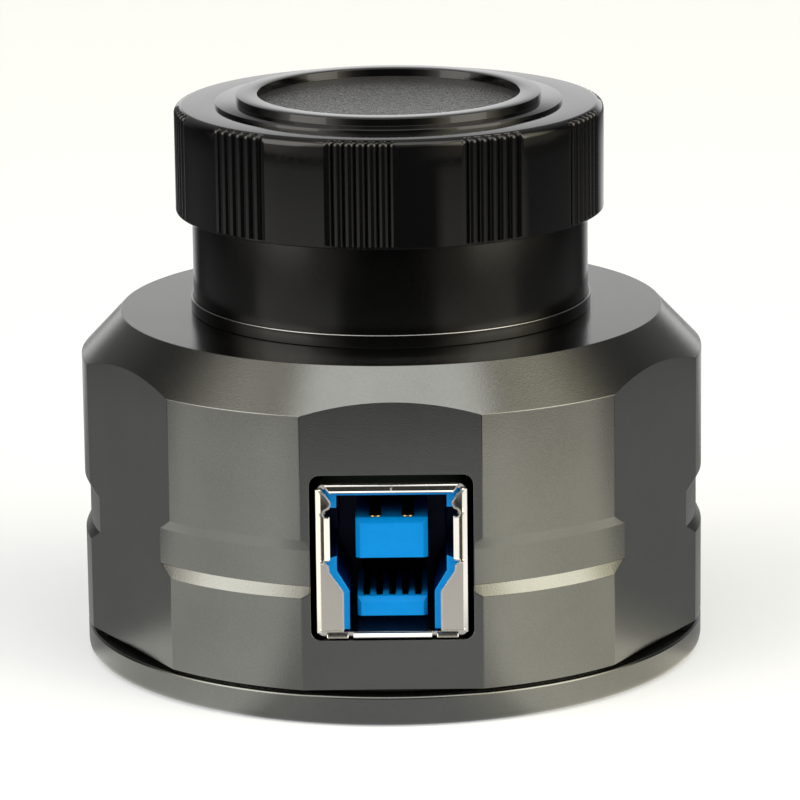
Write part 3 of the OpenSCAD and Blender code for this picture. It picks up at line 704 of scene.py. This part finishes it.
def make_nosepiece():
    filter_z = (BARREL_TOP_Z - FILTER_LEN + 0.2, BARREL_TOP_Z - 0.35)
    spigot_z = (SPIGOT_Z + 0.3, FACE_Z + 0.1)
    spigot = [(SPIGOT_R - 0.3, SPIGOT_Z)] + thread_rows(SPIGOT_R, *spigot_z)
    outer = rounded([
        (SPIGOT_R, FACE_Z + 0.3), (15.5, FACE_Z + 0.3),
        (15.5, FACE_Z), (FLANGE_R, FACE_Z, 0.08), (FLANGE_R, FACE_Z + 1.07, 0.22),
        (BARREL_R, FACE_Z + 1.07), (BARREL_R, 36.1, 0.05), (BARREL_R - 0.4, 36.1),
        (BARREL_R - 0.4, 37.7), (BARREL_R, 38.1, 0.05), (BARREL_R, BARREL_TOP_Z, 0.3),
        (FILTER_R + 0.35, BARREL_TOP_Z), (FILTER_R, BARREL_TOP_Z - 0.3)], 5)
    inner_low = BARREL_TOP_Z - FILTER_LEN
    outline = spigot + outer + thread_rows(FILTER_R, *filter_z)[::-1] + [
        (FILTER_R, inner_low), (BARREL_BORE_R, inner_low), (BARREL_BORE_R, SPIGOT_Z)]

    def threaded(r, z, angle):
        ends = {FILTER_R: filter_z, SPIGOT_R: spigot_z}.get(r)
        return thread_radius(r, z, angle, *ends) if ends else r

    bm = bmesh.new()
    spin(bm, outline, STEPS, threaded)
    piece = link(mesh_from(bm, "nosepiece_barrel"), "nosepiece_barrel")
    sharpen(piece, 30)
    finish_piece(piece, "nosepiece", BLACK_METAL, ["nosepiece"])
    # The flange's upper chamfer faces get the lighter metal: a painted highlight line.
    piece.data.materials.append(HIGHLIGHT_CHAMFER_METAL)
    for face in piece.data.polygons:
        middle = face.center / MM
        on_edge = middle.xy.length > BARREL_R + 0.01 and middle.z > FACE_Z + 0.8
        if on_edge and 0.3 < face.normal.z < 0.95:
            face.material_index = 1
    return piece


def sharpen(piece, angle):
    """Smooth shading with the edges over an angle kept sharp."""
    piece.data.shade_smooth()
    bm = bmesh.new()
    bm.from_mesh(piece.data)
    for edge in bm.edges:
        if len(edge.link_faces) == 2 and edge.calc_face_angle(0) > radians(angle):
            edge.smooth = False
    bm.to_mesh(piece.data)
    bm.free()


CAP_TOP_Z = CAP_RING_Z - 0.82
CAP_CORNER = 0.62
CAP_CORNER_IN = 0.7
RIB_GROUPS = 10
RIB_START = -7.2
RIB_HALF_GROUP = 9
RIB_PITCH = 3
RIB_DEPTH = 0.42
RIB_LOW_Z = CAP_RIM_Z + 0.22
RIB_END_Z = CAP_TOP_Z - 0.45
RIB_END_H = 0.37


def cap_radius(r, z, angle):
    """The cap's outer wall: smooth panels, and groups of rounded ribs with rounded upper ends."""
    if r < CAP_R - CAP_CORNER_IN + 0.01 or z < RIB_LOW_Z or z > CAP_TOP_Z:
        return r
    period = 360 / RIB_GROUPS
    off = (math.degrees(angle) - RIB_START + period / 2) % period - period / 2
    if abs(off) > RIB_HALF_GROUP:
        return r
    across = (off / RIB_PITCH + 0.5) % 1 * 2 - 1
    end = max(0, z - RIB_END_Z) / RIB_END_H
    height = sqrt(max(0, 1 - across * across * 0.98 - end * end))
    valley = min(r, CAP_R - RIB_DEPTH)
    return valley + (CAP_R - 0.03 - valley) * height


def make_cap():
    inner = BARREL_R + 0.05
    side_rows = [(CAP_R, CAP_RIM_Z + 0.1), (CAP_R, RIB_LOW_Z - 0.01), (CAP_R, RIB_LOW_Z)]
    side_rows += [(CAP_R, RIB_LOW_Z + 0.1 + (CAP_TOP_Z - CAP_CORNER - RIB_LOW_Z - 0.1) * k / 4)
                  for k in range(5)]
    corner = [(CAP_R - CAP_CORNER_IN * (1 - cos(t)), CAP_TOP_Z - CAP_CORNER + CAP_CORNER * sin(t))
              for t in (radians(90 * k / 12) for k in range(1, 13))]
    top = rounded([
        (13.9, CAP_TOP_Z, 0.03), (13.87, CAP_TOP_Z + 0.24, 0.04), (12.23, CAP_TOP_Z + 0.24, 0.03),
        (12.2, CAP_RING_Z, 0.05), (10.5, CAP_RING_Z, 0.06), (10.48, CAP_TOP_Z + 0.17, 0.03),
        (0, CAP_TOP_Z + 0.17), (0, BARREL_TOP_Z + 0.4), (14.9, BARREL_TOP_Z + 0.4),
        (14.9, BARREL_TOP_Z), (inner, BARREL_TOP_Z), (inner, CAP_RIM_Z + 0.3, 0.05),
        (inner + 0.3, CAP_RIM_Z), (CAP_R - 0.1, CAP_RIM_Z)])
    bm = bmesh.new()
    spin(bm, side_rows + corner + top, 1200, cap_radius)
    piece = link(mesh_from(bm, "ribbed_cap"), "ribbed_cap")
    sharpen(piece, 40)
    finish_piece(piece, "dust_cap", CAP_PLASTIC, ["dust_cap"])
    piece.data.materials.append(CAP_MATTE)
    for face in piece.data.polygons:
        middle = face.center
        if sqrt(middle.x ** 2 + middle.y ** 2) < 10.35 * MM and middle.z > (CAP_TOP_Z + 0.1) * MM:
            face.material_index = 1
    return piece


def make_retainer():
    z = 25.2
    bm = bmesh.new()
    spin(bm, rounded([(9.9, z), (14.4, z), (14.4, z + 0.5, 0.1), (10.3, z + 0.5, 0.1), (9.9, z + 0.15)]))
    piece = link(mesh_from(bm, "window_ring"), "window_ring")
    for side in (-1, 1):
        slot = bmesh.new()
        block(slot, (side * 12.6 - 0.9, -0.6, z - 1), (side * 12.6 + 0.9, 0.6, z + 2))
        cut(piece, slot)
    sharpen(piece, 30)
    return finish_piece(piece, "camera", BLACK_METAL, ["window_retainer"])


# ---- USB 3.0 type-B socket --------------------------------------------------------------

SHEET = 0.35
TONGUE_Y = SOCKET_Y + 1.1
LINER_Y = SOCKET_Y + 0.7
PLUG_BACK_Y = SOCKET_Y + 9
USB2_TONGUE = (2.78, 12.87, 16.05)
SUPERSPEED_TONGUE = (2.7, 8.24, 9.77)


def mirrored(outline, side):
    return [(side * x, z) for x, z in outline]


def band(bm, path, width, front, back, radius=0.14):
    """A strip of sheet seen on edge, along an open path of (x, z) points."""
    points = [Vector(p) for p in path]
    left, right = [], []
    for i, point in enumerate(points):
        along = (points[min(i + 1, len(points) - 1)] - points[max(i - 1, 0)]).normalized()
        across = Vector((-along.y, along.x)) * width / 2
        left.append((*(point + across), radius))
        right.append((*(point - across), radius))
    prism(bm, rounded(left + right[::-1], 3), front, back)


def recess_front(bm, rim, depth, lean):
    """Leaves a raised rim round the front faces of what bm holds; the rest leans back."""
    bmesh.ops.recalc_face_normals(bm, faces=bm.faces)
    fronts = [f for f in bm.faces if f.normal.y < -0.99]
    bmesh.ops.inset_individual(bm, faces=fronts, thickness=rim * MM, depth=-depth * MM)
    for face in fronts:
        lean_back(face, lean)


def lean_back(face, lean):
    """Leans an upright face back, by its slope over its height."""
    low_z = min(v.co.z for v in face.verts)
    for vert in face.verts:
        vert.co.y += (vert.co.z - low_z) * lean


def shell_tube():
    """The folded shell behind its front edges."""
    w, low_z, high_z, front = SHELL_W, SHELL_LOW_Z, BOARD_Z, SOCKET_Y + 0.5
    bm = bmesh.new()
    prism(bm, rounded([(-w, low_z, 0.6), (w, low_z, 0.6), (w, high_z, 0.8), (-w, high_z, 0.8)], 6),
          front, SOCKET_BACK_Y)
    tube = link(mesh_from(bm, "socket_shell"), "socket_shell")
    inner = bmesh.new()
    w, low_z, high_z = w - SHEET, low_z + SHEET, high_z - SHEET
    prism(inner, rounded([(-w, low_z, 0.3), (w, low_z, 0.3), (w, high_z, 0.5), (-w, high_z, 0.5)], 6),
          front - 1, SOCKET_BACK_Y + 1)
    cut(tube, inner)
    return tube


def top_strip(bm, side):
    """Half of the rolled strip over the plug opening, with a mitred end."""
    front, top = SOCKET_Y, BOARD_Z
    profile = [(0.4, 18.33), (0.06, 18.33), (0.0, 18.37), (0.0, 18.42), (0.08, 18.5), (0.14, 18.84),
               (0.05, 18.87), (0.05, 18.91), (0.14, top), (0.4, top)]
    rows = []
    for depth, z in profile:
        end = 4.68 + 0.5 * (z - 18.33) / (top - 18.33)
        rows.append([bm.verts.new(Vector((side * x, front + depth, z)) * MM) for x in (0.0, end)])
    for one, two in zip(rows, rows[1:] + rows[:1]):
        bm.faces.new([one[0], one[1], two[1], two[0]])
    bm.faces.new([row[0] for row in rows])
    bm.faces.new([row[1] for row in rows[::-1]])


def bottom_strip(bm):
    """The bright strip under the plug opening: its front edge is turned up."""
    front, low_z = SOCKET_Y, SHELL_LOW_Z
    profile = [(0.0, low_z), (0.0, low_z + 0.08), (0.22, low_z + 0.3), (0.6, low_z + 0.34), (0.6, low_z)]
    ends = [[bm.verts.new(Vector((x, front + y, z)) * MM) for y, z in profile] for x in (-3.02, 3.02)]
    bm.faces.new(ends[0])
    bm.faces.new(ends[1][::-1])
    for k in range(len(profile)):
        n = (k + 1) % len(profile)
        bm.faces.new([ends[0][k], ends[0][n], ends[1][n], ends[1][k]])


SPRING_TOP = [(5.42, 18.55), (5.0, 18.1), (4.66, 17.55), (4.8, 17.15), (5.14, 16.98), (5.3, 16.7),
              (5.14, 16.4), (4.8, 16.38)]
SPRING_LOW = [(4.8, 13.02), (5.18, 12.98), (5.3, 12.86), (5.12, 12.7), (4.9, 12.58), (4.84, 12.05),
              (3.87, 10.62), (3.78, 10.4), (3.78, 7.36), (5.45, 7.36)]


def make_shell():
    w, front = SHELL_W, SOCKET_Y
    piece = shell_tube()
    bm = bmesh.new()
    for side in (-1, 1):
        wall = [(w, front), (w, front + 0.8), (w - 0.38, front + 0.8), (w - 0.38, front + 0.23)]
        prism(bm, mirrored(wall, side), 7.25, 18.62, "z")
        tab = [(5.18, front + 0.03), (4.74, front + 0.27), (4.74, front + 0.8), (5.18, front + 0.8)]
        prism(bm, mirrored(tab, side), 13.0, 16.4, "z")
        band(bm, mirrored(SPRING_TOP, side), 0.12, front + 0.02, front + 0.7)
        band(bm, mirrored(SPRING_LOW, side), 0.12, front + 0.02, front + 0.7)
        band(bm, mirrored([(5.2, 18.98), (4.68, 18.33)], side), 0.09, front + 0.02, front + 0.5, 0)
        for x in (3.1, 3.27):
            prism(bm, mirrored([(x, 7.0), (x + 0.1, 7.0), (x + 0.1, 7.26), (x, 7.26)], side),
                  front + 0.2, front + 0.8)
        top_strip(bm, side)
    bottom_strip(bm)
    prism(bm, [(-0.1, 18.88), (-0.03, 18.38), (0.03, 18.38), (0.1, 18.88)], front + 0.01, front + 0.2)
    foot = bmesh.new()
    for side in (-1, 1):
        outline = [(3.42, 6.8), (5.05, 6.8), (5.05, 7.14), (3.42, 7.14)]
        prism(foot, mirrored(outline, side), front + 0.05, front + 0.8)
    recess_front(foot, 0.07, 0.12, 0.3)
    edges = link(mesh_from(bm, "edges"), "edges")
    feet = link(mesh_from(foot, "feet"), "feet")
    plates = shell_plates()
    join(piece, [edges, feet, plates])
    soften(piece, 0.035, 3, 28)
    finish_piece(piece, "camera", NICKEL, ["usb_shell"])
    piece.data.materials.append(SATIN_NICKEL)
    for face in piece.data.polygons:
        middle = face.center / MM
        flat_plate = abs(middle.y - front - 0.14) < 0.01 and face.normal.y < -0.9
        if flat_plate and 7.3 < middle.z < 12.8:
            face.material_index = 1
    return piece


def shell_plates():
    """The flat plates beside the plug opening, just behind the bright spring edges."""
    front = SOCKET_Y
    bm = bmesh.new()
    for side in (-1, 1):
        plate = [(5.46, 7.3), (3.76, 7.3), (3.76, 10.4), (4.84, 12.05), (4.9, 12.58), (5.46, 12.75)]
        prism(bm, mirrored(plate, side), front + 0.14, front + 0.6)
    for side in (-1, 1):
        start = len(bm.faces)
        gap = [(5.46, 12.6), (5.1, 12.6), (5.1, 16.9), (5.46, 16.9)]
        prism(bm, mirrored(gap, side), front + 0.3, front + 1.6)
        ear = [(5.46, 18.5), (5.0, 18.1), (4.68, 17.55), (4.82, 17.15), (5.46, 16.8)]
        prism(bm, mirrored(ear, side), front + 0.2, front + 0.9)
        bm.faces.ensure_lookup_table()
        for face in bm.faces[start:]:
            if all(v.co.y < (front + 0.31) * MM for v in face.verts):
                lean_back(face, 0.24)
    return link(mesh_from(bm, "plates"), "plates")


def join(piece, others):
    """Puts the meshes of other objects into a piece, and throws those objects away."""
    bm = bmesh.new()
    for source in [piece] + others:
        bm.from_mesh(source.data)
    bm.to_mesh(piece.data)
    bm.free()
    for other in others:
        bpy.data.objects.remove(other)


def make_insulator():
    inner = SHELL_W - SHEET - 0.02
    bm = bmesh.new()
    block(bm, (-inner, LINER_Y, SHELL_LOW_Z + SHEET + 0.12), (inner, SOCKET_BACK_Y, BOARD_Z - SHEET - 0.02))
    piece = link(mesh_from(bm, "socket_insulator"), "socket_insulator")
    cavity = bmesh.new()
    plug = [(-3.25, 6.0), (3.25, 6.0), (3.25, 10.4), (4.2, 12.0), (4.2, 17.98), (-4.2, 17.98),
            (-4.2, 12.0), (-3.25, 10.4)]
    prism(cavity, plug, LINER_Y - 5, PLUG_BACK_Y)
    cut(piece, cavity)
    for side in (-1, 1):
        set_back = bmesh.new()
        outline = [(3.9, 13.35), (4.75, 13.05), (inner + 1, 12.7), (inner + 1, 17.0), (3.9, 17.0)]
        prism(set_back, mirrored(outline, side), LINER_Y - 1, PLUG_BACK_Y - 0.4)
        cut(piece, set_back)
    soften(piece, 0.1, 3, 30)
    finish_piece(piece, "camera", BLUE, ["usb_insulator"])
    # Faces deeper than the liner's front get the darker blue: painted shade inside the socket.
    piece.data.materials.append(SHADED_CAVITY_BLUE)
    for face in piece.data.polygons:
        if face.center.y > (LINER_Y + 0.3) * MM:
            face.material_index = 1
    make_tongues()


def make_tongues():
    for name, (half, low_z, high_z), side_cut in (
            ("usb2_tongue", USB2_TONGUE, 0.36), ("superspeed_tongue", SUPERSPEED_TONGUE, 0.3)):
        bm = bmesh.new()
        block(bm, (-half, TONGUE_Y, low_z), (half, PLUG_BACK_Y + 0.5, high_z))
        slope_front(bm, side_cut, 0.4)
        tongue = link(mesh_from(bm, name), name)
        if name == "superspeed_tongue":
            for x in range(-2, 3):
                slot = bmesh.new()
                outline = rounded([(x - 0.25, TONGUE_Y + 0.75, 0.2), (x + 0.25, TONGUE_Y + 0.75, 0.2),
                                   (x + 0.25, PLUG_BACK_Y + 1), (x - 0.25, PLUG_BACK_Y + 1)])
                prism(slot, outline, high_z - 0.5, high_z + 1, "z")
                cut(tongue, slot)
        soften(tongue, 0.05, 2, 20)
        finish_piece(tongue, "camera", BLUE)


def slope_front(bm, side_cut, top_cut):
    """Slopes the top and the sides of a tongue towards its front face."""
    front = min(v.co.y for v in bm.verts)
    high_z = max(v.co.z for v in bm.verts)
    low_z = min(v.co.z for v in bm.verts)
    face = next(f for f in bm.faces if all(abs(v.co.y - front) < 1e-7 for v in f.verts))
    made = bmesh.ops.inset_individual(bm, faces=[face], thickness=0.1 * MM, depth=0)
    ring = {v for f in made["faces"] for v in f.verts} - set(face.verts)
    for vert in ring:
        vert.co.y = front + 0.42 * MM
    for vert in face.verts:
        upper = vert.co.z > (low_z + high_z) / 2
        edge = max(abs(v.co.x) for v in ring)
        vert.co.x = math.copysign(edge - side_cut * MM, vert.co.x)
        vert.co.z = high_z - top_cut * MM if upper else low_z + 0.06 * MM


def contact(bm, x, width, low_z, tail_y):
    """A contact strip with a curved front end and a tail up through the board."""
    thick = 0.2
    front = TONGUE_Y + 0.9
    top = [(front, low_z - 0.05), (front + 0.35, low_z + thick), (tail_y + thick, low_z + thick),
           (tail_y + thick, BOARD_Z + 1.8), (tail_y, BOARD_Z + 1.8), (tail_y, low_z), (front + 0.4, low_z)]
    ends = [[bm.verts.new(Vector((x + side * width / 2, y, z)) * MM) for y, z in top] for side in (-1, 1)]
    bm.faces.new(ends[0])
    bm.faces.new(ends[1][::-1])
    for k in range(len(top)):
        n = (k + 1) % len(top)
        bm.faces.new([ends[0][k], ends[0][n], ends[1][n], ends[1][k]])


def round_tip(bm, x, radius, low_z):
    """The raised round front end of a contact."""
    angles = [2 * pi * k / 24 for k in range(24)]
    outline = [(x + radius * cos(a), TONGUE_Y + 1.0 + radius * sin(a)) for a in angles]
    prism(bm, outline, low_z, low_z + 0.2, "z")


def make_contacts():
    bm = bmesh.new()
    for x in (-1.25, 1.25):
        contact(bm, x, 0.9, USB2_TONGUE[2] - 0.12, SOCKET_BACK_Y - 4.4)
        round_tip(bm, x, 0.5, USB2_TONGUE[2] - 0.1)
        contact(bm, x, 0.9, USB2_TONGUE[1] - 0.05, SOCKET_BACK_Y - 2.4)
    piece = link(mesh_from(bm, "usb2_contact_set"), "usb2_contact_set")
    soften(piece, 0.04, 2, 30)
    finish_piece(piece, "camera", GOLD, ["usb2_contacts"])
    bm = bmesh.new()
    for x in range(-2, 3):
        contact(bm, x, 0.4, SUPERSPEED_TONGUE[2] - 0.3, SOCKET_BACK_Y - 0.9)
    piece = link(mesh_from(bm, "superspeed_contact_set"), "superspeed_contact_set")
    soften(piece, 0.04, 2, 30)
    finish_piece(piece, "camera", GOLD, ["superspeed_contacts"])


# ---- CAD nodes that stay, with their materials ---------------------------------------------

def dress_cad_nodes():
    looks = {
        "cover_seal": RUBBER, "nosepiece_gasket": RUBBER, "window_seal": RUBBER,
        "window_glass": GLASS, "sensor_cover_glass": GLASS, "sensor_package": PACKAGE,
        "sensor_die": SILICON, "sensor_board": BOARD, "main_board": BOARD, "board_plug": IVORY,
        "board_socket": IVORY, "board_spacers": STEEL, "board_screws": STEEL,
        "usb_controller": CHIP, "memory_chip": CHIP, "voltage_regulator": CHIP,
        "power_inductor": FERRITE, "crystal": NICKEL, "capacitors": CERAMIC, "thermal_pad": PAD,
        "heat_block": MILLED, "usb_rear_cover": NICKEL}
    for node, look in looks.items():
        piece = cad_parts[node]
        piece.data.materials.clear()
        piece.data.materials.append(look)


make_camera()
make_world()
make_floor()
make_lit_floor()
area_light("left_box", -62, 25, 0.6, 0.35, 0.6, 0.8)
area_light("right_box", 62, 25, 0.6, 0.35, 0.6, 0.8)
area_light("top_box", 0, 72, 0.6, 0.5, 0.4, 1)
make_housing()
make_cover()
make_screws()
make_nosepiece()
make_cap()
make_retainer()
make_shell()
make_insulator()
make_contacts()
dress_cad_nodes()

bpy.context.scene.view_settings.view_transform = "Standard"
